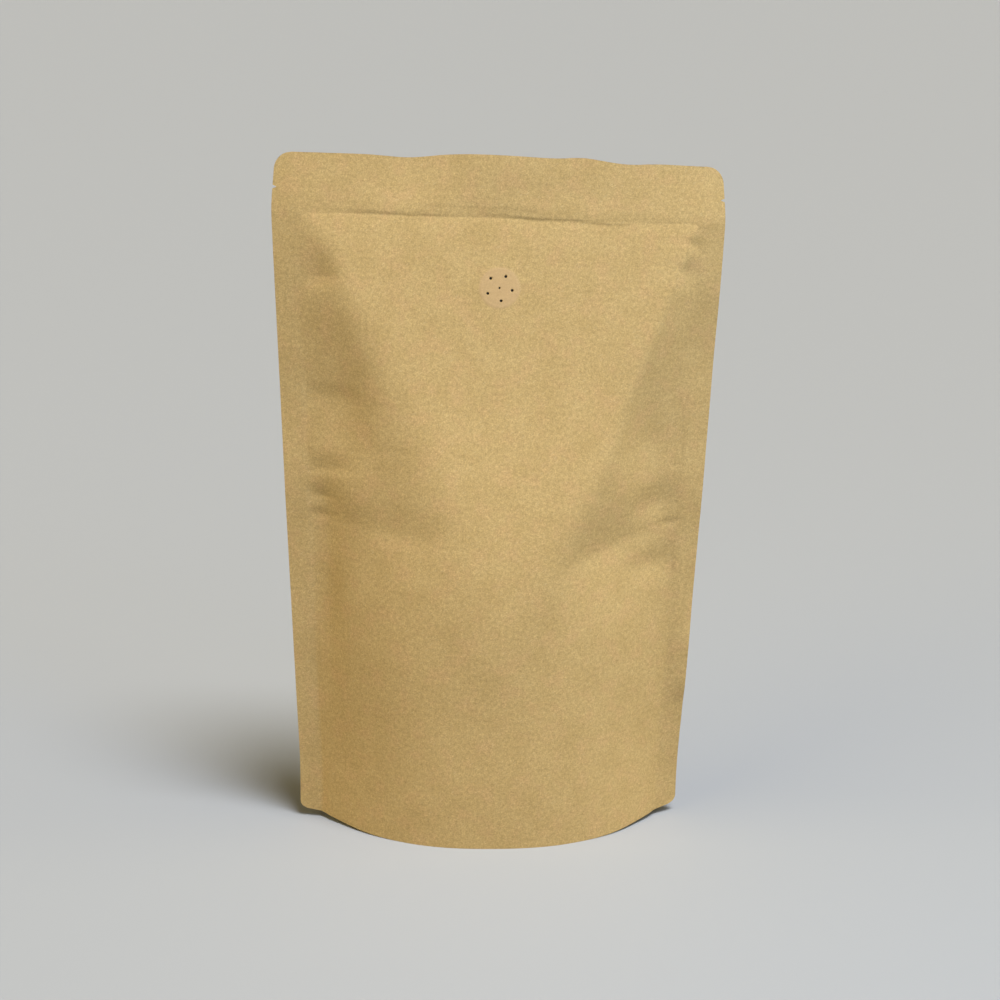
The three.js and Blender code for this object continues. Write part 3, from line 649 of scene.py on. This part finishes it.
def punch_pinholes(panel, matrix, wall_material):
    """Cuts the pinholes through a panel's film. Their walls take the panel's wall material."""
    low, high = -PUNCH_HALF_HEIGHT, PUNCH_HALF_HEIGHT
    for i, (x, y, radius) in enumerate(pinhole_places()):
        profile = [(0, low), (radius, low), (radius, high), (0, high)]
        place = matrix @ Matrix.Translation((x * MM, y * MM, 0))
        mesh = ring_mesh(f"punch_{i}", profile, PUNCH_SIDES, place)
        mesh.materials.append(wall_material)
        punch = bpy.data.objects.new(f"punch_{i}", mesh)
        bpy.context.scene.collection.objects.link(punch)
        cut = panel.modifiers.new(f"punch_{i}", "BOOLEAN")
        cut.operation = "DIFFERENCE"
        cut.solver = "MANIFOLD"
        cut.object = punch
    bpy.context.view_layer.update()
    evaluated = panel.evaluated_get(bpy.context.evaluated_depsgraph_get())
    cut_mesh = bpy.data.meshes.new_from_object(evaluated)
    panel.modifiers.clear()
    old = panel.data
    panel.data = cut_mesh
    cut_mesh.name = old.name
    bpy.data.meshes.remove(old)
    for punch in [o for o in bpy.data.objects if o.name.startswith("punch_")]:
        bpy.data.objects.remove(punch)


def make_valve_plug(matrix, material):
    """The valve welded to the inside of the film, of which the pinholes show the dark seat."""
    top = -FILM_THICKNESS - PLUG_GAP
    bottom = top - PLUG_THICKNESS
    foot = VALVE_RADIUS - PLUG_FLANGE_WIDTH - PLUG_DRAFT
    profile = [
        (0, bottom),
        (foot - PLUG_BEVEL, bottom),
        (foot, bottom + PLUG_BEVEL),
        (foot + PLUG_DRAFT, top - PLUG_FLANGE - PLUG_ROUNDING),
        (VALVE_RADIUS - 2 * PLUG_ROUNDING, top - PLUG_FLANGE),
        (VALVE_RADIUS, top - PLUG_FLANGE + 2 * PLUG_ROUNDING),
        (VALVE_RADIUS, top - PLUG_ROUNDING),
        (VALVE_RADIUS - 3 * PLUG_ROUNDING, top),
        (0, top),
    ]
    mesh = ring_mesh("valve_plug", profile, PLUG_SIDES, matrix)
    mesh.materials.append(material)
    piece = bpy.data.objects.new("valve_plug", mesh)
    bpy.context.scene.collection.objects.link(piece)
    return piece


# ---------------------------------------------------------------- materials

class Nodes:
    """Small helper for building a material's node tree."""

    def __init__(self, name, roughness):
        self.material = bpy.data.materials.new(name)
        self.material.use_nodes = True
        self.tree = self.material.node_tree
        self.shader = self.tree.nodes["Principled BSDF"]
        self.shader.inputs["Roughness"].default_value = roughness

    def add(self, kind, **values):
        node = self.tree.nodes.new(kind)
        for key, value in values.items():
            setattr(node, key, value)
        return node

    def link(self, source, target):
        self.tree.links.new(source, target)

    def film_place(self, scale=(1, 1, 1), turn=0.0):
        """The flat film's coordinates in metres, turned and then scaled."""
        place = self.add("ShaderNodeUVMap", uv_map="film").outputs["UV"]
        for name, value in (("Rotation", (0, 0, turn)), ("Scale", scale)):
            mapping = self.add("ShaderNodeMapping")
            mapping.inputs[name].default_value = value
            self.link(place, mapping.inputs["Vector"])
            place = mapping.outputs["Vector"]
        return place

    def noise(self, vector, scale, detail=3.0, roughness=0.5):
        node = self.add("ShaderNodeTexNoise")
        node.inputs["Scale"].default_value = scale
        node.inputs["Detail"].default_value = detail
        node.inputs["Roughness"].default_value = roughness
        self.link(vector, node.inputs["Vector"])
        return node.outputs["Fac"]

    def span(self, value, low, high, to_low, to_high, smoothly=False):
        """Maps low to to_low and high to to_high, and keeps to that range."""
        kind = "SMOOTHSTEP" if smoothly else "LINEAR"
        node = self.add("ShaderNodeMapRange", interpolation_type=kind)
        names = ("From Min", "From Max", "To Min", "To Max")
        for name, number in zip(names, (low, high, to_low, to_high)):
            node.inputs[name].default_value = number
        self.link(value, node.inputs["Value"])
        return node.outputs["Result"]

    def blend(self, kind, factor, first, second):
        """Mixes two colours; each of factor, first and second is a socket or a fixed value."""
        node = self.add("ShaderNodeMix", data_type="RGBA", blend_type=kind)
        sockets = [node.inputs[i] for i in (0, 6, 7)]
        for socket, value in zip(sockets, (factor, first, second)):
            if isinstance(value, bpy.types.NodeSocket):
                self.link(value, socket)
            else:
                socket.default_value = value
        return node.outputs[2]


def srgb(r, g, b):
    """A colour of the scene from the 0 to 255 values that a picture shows."""
    def linear(v):
        v /= 255
        return v / 12.92 if v <= 0.04045 else ((v + 0.055) / 1.055) ** 2.4
    return (linear(r), linear(g), linear(b), 1.0)


KRAFT_LIGHT = srgb(181, 154, 103)
KRAFT_DARK = srgb(172, 145, 94)
KRAFT_PINK = srgb(183, 150, 103)
FIBRE_DARK = srgb(120, 94, 56)
FIBRE_LIGHT = srgb(198, 177, 132)
VALVE_TINT = srgb(184, 153, 111)
VALVE_TINT_STRENGTH = 0.7

# Fibres: direction in radians, tone, and the noise value from which they show
FIBRES = (
    (0.35, FIBRE_DARK, 0.665),
    (1.45, FIBRE_DARK, 0.68),
    (2.5, FIBRE_LIGHT, 0.645),
)


def kraft_paper(name, tint=None):
    """Unbleached paper: cloudy pulp, short pale and dark fibres lying all ways, and a fine tooth.

    tint is the name of a point attribute, the colour it gives the paper, and how strongly."""
    n = Nodes(name, 0.84)
    n.shader.inputs["Specular IOR Level"].default_value = 0.28
    place = n.film_place()
    clouds = n.span(n.noise(place, CLOUD_SCALE, 4, 0.6), 0.3, 0.7, 0, 1)
    colour = n.blend("MIX", clouds, KRAFT_DARK, KRAFT_LIGHT)
    warmth = n.span(n.noise(n.film_place(turn=0.8), WARMTH_SCALE, 2), 0.45, 0.72, 0, 0.55, True)
    colour = n.blend("MIX", warmth, colour, KRAFT_PINK)
    pulp = n.noise(place, PULP_SCALE, 4, 0.65)
    grain = n.noise(n.film_place(turn=1.9), GRAIN_SCALE, 2, 0.6)
    for value, strength in ((pulp, PULP_STRENGTH), (grain, GRAIN_STRENGTH)):
        grey = n.span(value, 0.25, 0.75, 1 - strength, 1 + strength)
        colour = n.blend("MULTIPLY", 1.0, colour, grey)
    for turn, tone, low in FIBRES:
        fibres = n.noise(n.film_place(FIBRE_SCALE, turn), 1.0, 1.5, 0.4)
        shows = n.span(fibres, low, low + 0.06, 0, FIBRE_STRENGTH)
        colour = n.blend("MIX", shows, colour, tone)
    speck = n.add("ShaderNodeTexVoronoi")
    speck.inputs["Scale"].default_value = SPECK_SCALE
    n.link(place, speck.inputs["Vector"])
    small = n.span(speck.outputs["Distance"], 0.05, 0.1, 1, 0)
    rare = n.span(speck.outputs["Color"], 0.9, 0.92, 0, 0.6)
    both = n.add("ShaderNodeMath", operation="MULTIPLY")
    n.link(small, both.inputs[0])
    n.link(rare, both.inputs[1])
    colour = n.blend("MIX", both.outputs[0], colour, FIBRE_DARK)
    if tint:
        attribute, tone, most = tint
        mask = n.add("ShaderNodeAttribute", attribute_name=attribute)
        strength = n.span(mask.outputs["Fac"], 0, 1, 0, most)
        colour = n.blend("MIX", strength, colour, tone)
    n.link(colour, n.shader.inputs["Base Color"])
    n.link(n.span(pulp, 0.3, 0.7, 0.9, 0.78), n.shader.inputs["Roughness"])
    height = n.add("ShaderNodeMath", operation="ADD")
    n.link(pulp, height.inputs[0])
    n.link(grain, height.inputs[1])
    bump = n.add("ShaderNodeBump")
    bump.inputs["Strength"].default_value = 0.25
    bump.inputs["Distance"].default_value = 0.0001
    n.link(height.outputs[0], bump.inputs["Height"])
    n.link(bump.outputs["Normal"], n.shader.inputs["Normal"])
    return n.material


def cut_edge():
    """The film's cut edge: brown pulp, uneven along its length."""
    n = Nodes("cut_edge", 0.9)
    tone = n.noise(n.film_place(), 900, 3)
    n.link(n.blend("MIX", tone, srgb(132, 104, 66), srgb(162, 134, 92)), n.shader.inputs["Base Color"])
    return n.material


def pinhole_wall_painted_shade():
    """The cut film inside a pinhole, darker than the film's cut edge: painted shade in the hole."""
    n = Nodes("pinhole_wall_painted_shade", 0.9)
    tone = n.noise(n.film_place(), 2500, 2)
    # darker browns than the cut edge: painted shade in the hole
    n.link(n.blend("MIX", tone, srgb(74, 50, 28), srgb(104, 74, 42)), n.shader.inputs["Base Color"])
    return n.material


def valve_plastic():
    """Dark plastic, slightly cloudy."""
    n = Nodes("valve_plastic", 0.5)
    coordinates = n.add("ShaderNodeTexCoord")
    tone = n.noise(coordinates.outputs["Object"], 900, 2)
    n.link(n.blend("MIX", tone, srgb(30, 24, 20), srgb(44, 36, 30)), n.shader.inputs["Base Color"])
    return n.material


# ---------------------------------------------------------------- scene

CAMERA_ELEVATION = math.radians(17)
CAMERA_YAW = math.radians(-3.45)
CAMERA_ROLL = math.radians(1.09)
CAMERA_DISTANCE = 1200.0
CAMERA_TARGET = Vector((2.4, 0.0, 155.0))
CAMERA_LENS = 95.3
CAMERA_SENSOR = 36.0
CAMERA_CLIP = (0.01, 50.0)  # metres

WORLD_COLOUR, WORLD_STRENGTH = (1.0, 0.9, 0.8, 1), 0.08

# Suns: name, azimuth, elevation and spread in degrees, strength and colour. Azimuth 0 is in front of the
# pouch, and +90 on its right.
SUNS = (
    ("key", 36, 69, 24, 4.1, (0.95, 0.98, 1.06)),
    ("right_fill", 75, 24, 50, 1.25, (1.0, 0.87, 0.45)),
    ("left_fill", -65, 28, 50, 1.5, (1.0, 0.83, 0.42)),
)

# A near, round, sky-coloured lamp above the pouch's right shoulder, in metres and watts
LAMP_PLACE = Vector((0.28, -0.4, 0.5))
LAMP_AIM = Vector((0.05, 0, 0.26))
LAMP_SIZE = 0.3
LAMP_POWER = 1.2
LAMP_COLOUR = (0.4, 0.62, 1.0)

FLOOR_HALF = 8.0  # metres
FLOOR_DROP = 0.00005  # metres below the pouch's base
FLOOR_COLOUR = (0.33, 0.335, 0.335, 1)


def add_camera():
    """Looks down on the front panel, from a little to the left, with a small roll."""
    data = bpy.data.cameras.new("camera")
    data.lens = CAMERA_LENS
    data.sensor_width = CAMERA_SENSOR
    data.clip_start, data.clip_end = CAMERA_CLIP
    camera = bpy.data.objects.new("camera", data)
    back = Vector((
        math.sin(CAMERA_YAW) * math.cos(CAMERA_ELEVATION),
        -math.cos(CAMERA_YAW) * math.cos(CAMERA_ELEVATION),
        math.sin(CAMERA_ELEVATION),
    ))
    level_right = (-back).cross(Vector((0, 0, 1))).normalized()
    level_up = back.cross(level_right)
    right = level_right * math.cos(CAMERA_ROLL) + level_up * math.sin(CAMERA_ROLL)
    up = level_up * math.cos(CAMERA_ROLL) - level_right * math.sin(CAMERA_ROLL)
    place = (CAMERA_TARGET + back * CAMERA_DISTANCE) * MM
    turned = Matrix((right, up, back)).transposed().to_4x4()
    camera.matrix_world = Matrix.Translation(place) @ turned
    bpy.context.scene.collection.objects.link(camera)
    bpy.context.scene.camera = camera


def add_sun(name, azimuth, elevation, spread, strength, colour):
    """A wide, far soft light."""
    data = bpy.data.lights.new(name, "SUN")
    data.angle = math.radians(spread)
    data.energy = strength
    data.color = colour
    light = bpy.data.objects.new(name, data)
    turn, rise = math.radians(azimuth), math.radians(elevation)
    level = math.cos(rise)
    away = Vector((math.sin(turn) * level, -math.cos(turn) * level, math.sin(rise)))
    light.rotation_euler = away.to_track_quat("Z", "Y").to_euler()
    bpy.context.scene.collection.objects.link(light)


def add_lamp():
    data = bpy.data.lights.new("top_right", "AREA")
    data.shape = "DISK"
    data.size = LAMP_SIZE
    data.energy = LAMP_POWER
    data.color = LAMP_COLOUR
    light = bpy.data.objects.new("top_right", data)
    light.location = LAMP_PLACE
    light.rotation_euler = (LAMP_PLACE - LAMP_AIM).to_track_quat("Z", "Y").to_euler()
    bpy.context.scene.collection.objects.link(light)


def add_floor():
    mesh = bpy.data.meshes.new("floor")
    corners = [(x * FLOOR_HALF, y * FLOOR_HALF, 0) for x, y in ((-1, -1), (1, -1), (1, 1), (-1, 1))]
    mesh.from_pydata(corners, [], [(0, 1, 2, 3)])
    n = Nodes("floor", 0.7)
    n.shader.inputs["Base Color"].default_value = FLOOR_COLOUR
    mesh.materials.append(n.material)
    floor = bpy.data.objects.new("floor", mesh)
    floor.location.z = -FLOOR_DROP
    bpy.context.scene.collection.objects.link(floor)


def add_studio():
    world = bpy.data.worlds.new("studio")
    world.use_nodes = True
    background = world.node_tree.nodes["Background"]
    background.inputs["Color"].default_value = WORLD_COLOUR
    background.inputs["Strength"].default_value = WORLD_STRENGTH
    bpy.context.scene.world = world
    for sun in SUNS:
        add_sun(*sun)
    add_lamp()
    bpy.context.scene.view_settings.view_transform = "Standard"
    add_floor()


def mark_valve(panel, matrix):
    """Stores how far each point of the panel is part of the film over the valve, for its colour."""
    mesh = panel.data
    places = np.empty(len(mesh.vertices) * 3)
    mesh.vertices.foreach_get("co", places)
    centre = np.array(matrix.translation)
    distance = np.linalg.norm(places.reshape(-1, 3) - centre, axis=1) / MM
    mask = mesh.attributes.new("valve", "FLOAT", "POINT")
    past = (distance - VALVE_RADIUS + VALVE_TINT_EDGE / 2) / VALVE_TINT_EDGE
    mask.data.foreach_set("value", 1 - smooth(past))


add_camera()
edge = cut_edge()
paper = kraft_paper("kraft_paper")
front_paper = kraft_paper("kraft_paper_front", ("valve", VALVE_TINT, VALVE_TINT_STRENGTH))
# the pinhole walls get darker browns than the cut edge: painted shade
hole_wall = pinhole_wall_painted_shade()

front = make_panel("front", [front_paper, edge, hole_wall])
back = make_panel("back", [paper, edge])
gusset = make_gusset([paper, edge])
over_valve = valve_matrix()
mark_valve(front, over_valve)
punch_pinholes(front, over_valve, hole_wall)
plug = make_valve_plug(over_valve, valve_plastic())

for film in (front, back, gusset):
    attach(film, "root")
    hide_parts("pouch_body")
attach(plug, "root")
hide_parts("valve")

add_studio()
